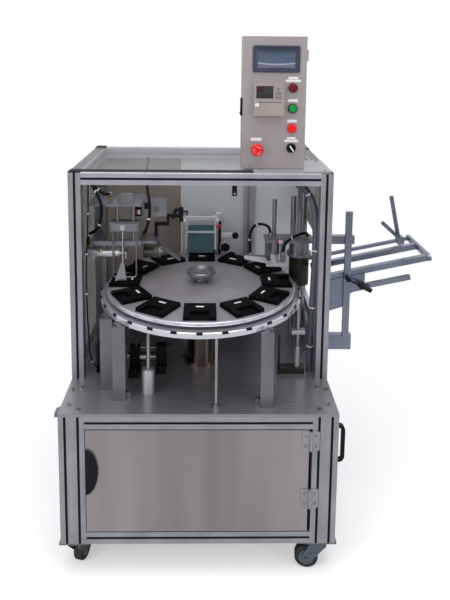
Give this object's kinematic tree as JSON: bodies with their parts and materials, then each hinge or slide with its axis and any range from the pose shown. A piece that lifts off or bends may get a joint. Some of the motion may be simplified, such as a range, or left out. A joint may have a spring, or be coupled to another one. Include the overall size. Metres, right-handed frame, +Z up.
{
  "type": "cartoning machine",
  "caption": "Free-standing cartoning machine with a rotary dial of carton nests, a slotted-profile guard cage, side stations, a sloping carton magazine and a control box.",
  "frame": {"origin": "on the floor, under the middle of the machine's overall width and depth", "axes": "+X to the operator's right, +Y from the front to the back, +Z up"},
  "size_m": [1.2598, 0.752, 1.698],
  "materials": {
    "base_posts": "clear anodised extrusion",
    "base_rails": "clear anodised extrusion",
    "table_plate": "ground and polished plate",
    "cabinet_panels": "brushed sheet",
    "side_handle": "black moulded",
    "mains_switch_base": "grey moulded",
    "mains_switch_knob": "dark grey moulded",
    "hinge_frame_leaves": "cast, tumbled",
    "hinge_door_leaves": "cast, tumbled",
    "caster_plates": "zinc plated, dull",
    "drive_motor": "dark grey paint",
    "cam_indexer": "grey paint",
    "indexer_column": "polished, blackened",
    "guide_ring": "turned, bright edge",
    "ring_columns": "clear anodised extrusion",
    "support_rods": "ground rod",
    "cage_posts": "clear anodised extrusion",
    "cage_rails": "clear anodised extrusion",
    "cage_clear_panels": "clear acrylic",
    "cage_rear_panels": "light grey sheet",
    "control_box_plate": "grey plate",
    "control_box_body": "brushed stainless",
    "control_box_door": "brushed stainless",
    "touch_screen": "dark blue-grey bezel",
    "counter_module": "beige moulded",
    "pilot_lamp": "dark red lens",
    "start_button": "green cap",
    "stop_button": "red cap",
    "selector_knob": "black with pointer",
    "emergency_stop": "red mushroom",
    "left_mast": "machined plates and ground shafts",
    "left_cylinder": "air cylinder, satin",
    "left_push_rod": "plated rod",
    "left_lift": "blackened carriage and steel wire",
    "left_funnel": "polished sheet",
    "right_mast": "machined plates and ground shafts",
    "right_arm": "white block and rod",
    "right_paddle": "white plate",
    "rear_magazine": "white guides",
    "loaded_cartons": "teal carton board, plain",
    "magazine_frame": "ground bar",
    "magazine_guide": "ground bar",
    "magazine_lever_upper": "black grip",
    "magazine_lever_lower": "black grip",
    "air_hoses": "black corrugated hose",
    "cable_bundle": "blue-grey conduit",
    "cabinet_door": "brushed stainless",
    "door_handle": "black moulded",
    "dial_shaft": "ground steel",
    "dial_plate": "turned face, bright edge",
    "carton_nests": "black acetal",
    "dial_knob": "turned",
    "caster_fork_front_left": "zinc plated",
    "caster_wheel_front_left": "black tyre, grey hub",
    "caster_fork_front_right": "zinc plated",
    "caster_wheel_front_right": "black tyre, grey hub",
    "caster_fork_rear_left": "zinc plated",
    "caster_wheel_rear_left": "black tyre, grey hub",
    "caster_fork_rear_right": "zinc plated",
    "caster_wheel_rear_right": "black tyre, grey hub"
  },
  "bodies": {
    "machine": {"base_posts": "base_posts", "base_rails": "base_rails", "table_plate": "table_plate", "cabinet_panels": "cabinet_panels", "side_handle": "side_handle", "mains_switch_base": "mains_switch_base", "hinge_frame_leaves": "hinge_frame_leaves", "caster_plates": "caster_plates", "drive_motor": "drive_motor", "cam_indexer": "cam_indexer", "indexer_column": "indexer_column", "guide_ring": "guide_ring", "ring_columns": "ring_columns", "support_rods": "support_rods", "cage_posts": "cage_posts", "cage_rails": "cage_rails", "cage_clear_panels": "cage_clear_panels", "cage_rear_panels": "cage_rear_panels", "control_box_plate": "control_box_plate", "control_box_body": "control_box_body", "left_mast": "left_mast", "left_cylinder": "left_cylinder", "right_mast": "right_mast", "rear_magazine": "rear_magazine", "loaded_cartons": "loaded_cartons", "magazine_frame": "magazine_frame", "air_hoses": "air_hoses", "cable_bundle": "cable_bundle"},
    "mains_switch": {"mains_switch_knob": "mains_switch_knob"},
    "door": {"cabinet_door": "cabinet_door", "door_handle": "door_handle", "hinge_door_leaves": "hinge_door_leaves"},
    "dial": {"dial_shaft": "dial_shaft", "dial_plate": "dial_plate", "carton_nests": "carton_nests", "dial_knob": "dial_knob"},
    "box_door": {"control_box_door": "control_box_door", "touch_screen": "touch_screen", "counter_module": "counter_module", "pilot_lamp": "pilot_lamp"},
    "start": {"start_button": "start_button"},
    "stop": {"stop_button": "stop_button"},
    "selector": {"selector_knob": "selector_knob"},
    "emergency": {"emergency_stop": "emergency_stop"},
    "left_carriage": {"left_lift": "left_lift", "left_funnel": "left_funnel"},
    "push_rod": {"left_push_rod": "left_push_rod"},
    "arm": {"right_arm": "right_arm", "right_paddle": "right_paddle"},
    "follower": {"magazine_guide": "magazine_guide"},
    "upper_lever": {"magazine_lever_upper": "magazine_lever_upper"},
    "lower_lever": {"magazine_lever_lower": "magazine_lever_lower"},
    "fork_front_left": {"caster_fork_front_left": "caster_fork_front_left"},
    "wheel_front_left": {"caster_wheel_front_left": "caster_wheel_front_left"},
    "fork_front_right": {"caster_fork_front_right": "caster_fork_front_right"},
    "wheel_front_right": {"caster_wheel_front_right": "caster_wheel_front_right"},
    "fork_rear_left": {"caster_fork_rear_left": "caster_fork_rear_left"},
    "wheel_rear_left": {"caster_wheel_rear_left": "caster_wheel_rear_left"},
    "fork_rear_right": {"caster_fork_rear_right": "caster_fork_rear_right"},
    "wheel_rear_right": {"caster_wheel_rear_right": "caster_wheel_rear_right"}
  },
  "joints": [
    {"name": "cabinet_door_hinge", "type": "hinge", "parent": "machine", "child": "door", "pos_m": [0.17906, -0.369, 0.328], "axis": [0, 0, 1], "range_deg": [0, 110]},
    {"name": "control_box_door_hinge", "type": "hinge", "parent": "machine", "child": "box_door", "pos_m": [0.17706, -0.0987, 1.482], "axis": [0, 0, 1], "range_deg": [0, 120]},
    {"name": "dial_spin", "type": "hinge", "parent": "machine", "child": "dial", "pos_m": [-0.16594, -0.019, 0.83], "axis": [0, 0, 1], "continuous": true},
    {"name": "mains_switch_turn", "type": "hinge", "parent": "machine", "child": "mains_switch", "pos_m": [-0.61594, -0.254, 0.489], "axis": [1, 0, 0], "range_deg": [0, 90]},
    {"name": "start_press", "type": "slide", "parent": "box_door", "child": "start", "axis": [0, 1, 0], "range_m": [0, 0.003], "stiffness_N_per_m": 500},
    {"name": "stop_press", "type": "slide", "parent": "box_door", "child": "stop", "axis": [0, 1, 0], "range_m": [0, 0.003], "stiffness_N_per_m": 500},
    {"name": "selector_turn", "type": "hinge", "parent": "box_door", "child": "selector", "pos_m": [0.12806, -0.124, 1.336], "axis": [0, 1, 0], "range_deg": [-45, 45]},
    {"name": "emergency_stop_press", "type": "slide", "parent": "box_door", "child": "emergency", "axis": [0, 1, 0], "range_m": [0, 0.004], "stiffness_N_per_m": 800},
    {"name": "left_lift_slide", "type": "slide", "parent": "machine", "child": "left_carriage", "axis": [0, 0, 1], "range_m": [0, 0.05]},
    {"name": "push_rod_slide", "type": "slide", "parent": "machine", "child": "push_rod", "axis": [1, 0, 0], "range_m": [0, 0.04]},
    {"name": "right_arm_slide", "type": "slide", "parent": "machine", "child": "arm", "axis": [0, 0, 1], "range_m": [0, 0.02]},
    {"name": "magazine_guide_slide", "type": "slide", "parent": "machine", "child": "follower", "axis": [0.9785, 0, 0.2062], "range_m": [-0.25, 0]},
    {"name": "upper_lever_turn", "type": "hinge", "parent": "machine", "child": "upper_lever", "pos_m": [0.33706, -0.099, 0.881], "axis": [0, 1, 0], "range_deg": [-45, 45]},
    {"name": "lower_lever_turn", "type": "hinge", "parent": "machine", "child": "lower_lever", "pos_m": [0.38606, -0.088, 0.851], "axis": [0, 1, 0], "range_deg": [-45, 45]},
    {"name": "swivel_front_left", "type": "hinge", "parent": "machine", "child": "fork_front_left", "pos_m": [-0.55594, -0.324, 0.1], "axis": [0, 0, 1], "continuous": true},
    {"name": "roll_front_left", "type": "hinge", "parent": "fork_front_left", "child": "wheel_front_left", "pos_m": [-0.54507, -0.28343, 0.0375], "axis": [-0.9659, 0.2588, 0], "continuous": true},
    {"name": "swivel_front_right", "type": "hinge", "parent": "machine", "child": "fork_front_right", "pos_m": [0.22406, -0.324, 0.1], "axis": [0, 0, 1], "continuous": true},
    {"name": "roll_front_right", "type": "hinge", "parent": "fork_front_right", "child": "wheel_front_right", "pos_m": [0.18247, -0.31816, 0.0375], "axis": [-0.1392, -0.9903, 0], "continuous": true},
    {"name": "swivel_rear_left", "type": "hinge", "parent": "machine", "child": "fork_rear_left", "pos_m": [-0.55594, 0.336, 0.1], "axis": [0, 0, 1], "continuous": true},
    {"name": "roll_rear_left", "type": "hinge", "parent": "fork_rear_left", "child": "wheel_rear_left", "pos_m": [-0.56178, 0.29441, 0.0375], "axis": [0.9903, -0.1392, 0], "continuous": true},
    {"name": "swivel_rear_right", "type": "hinge", "parent": "machine", "child": "fork_rear_right", "pos_m": [0.22406, 0.336, 0.1], "axis": [0, 0, 1], "continuous": true},
    {"name": "roll_rear_right", "type": "hinge", "parent": "fork_rear_right", "child": "wheel_rear_right", "pos_m": [0.23493, 0.29543, 0.0375], "axis": [0.9659, 0.2588, 0], "continuous": true}
  ]
}
